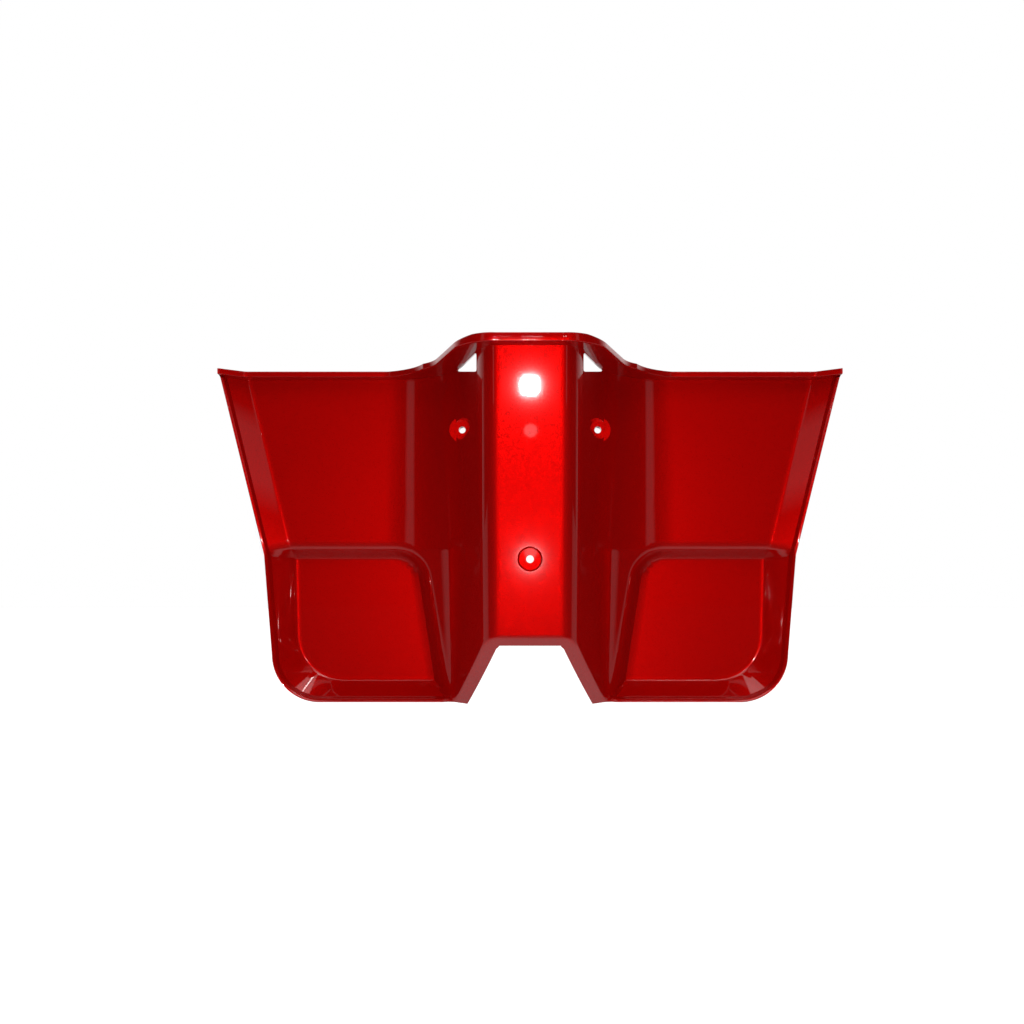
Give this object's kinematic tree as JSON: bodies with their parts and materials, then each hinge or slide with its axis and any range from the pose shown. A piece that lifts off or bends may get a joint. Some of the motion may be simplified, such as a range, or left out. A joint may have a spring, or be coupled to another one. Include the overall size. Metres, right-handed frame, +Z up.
{
  "type": "scooter front panel",
  "caption": "Moulded inner front panel for a small scooter: two dished wings, a raised hollow column cover between them, a forward lip, a top hoop and an arched notch below.",
  "frame": {"origin": "middle of the centre screw's seat, on the face of the column cover", "axes": "-Y out of the screw's recess towards the rider, +X to the rider's right along the panel's width, +Z up"},
  "size_m": [0.517, 0.1431, 0.2897],
  "materials": {
    "red_paint": "metallic red paint under clear gloss lacquer on a moulded ABS shell"
  },
  "bodies": {
    "root": {"front_panel": "red_paint"}
  },
  "joints": []
}
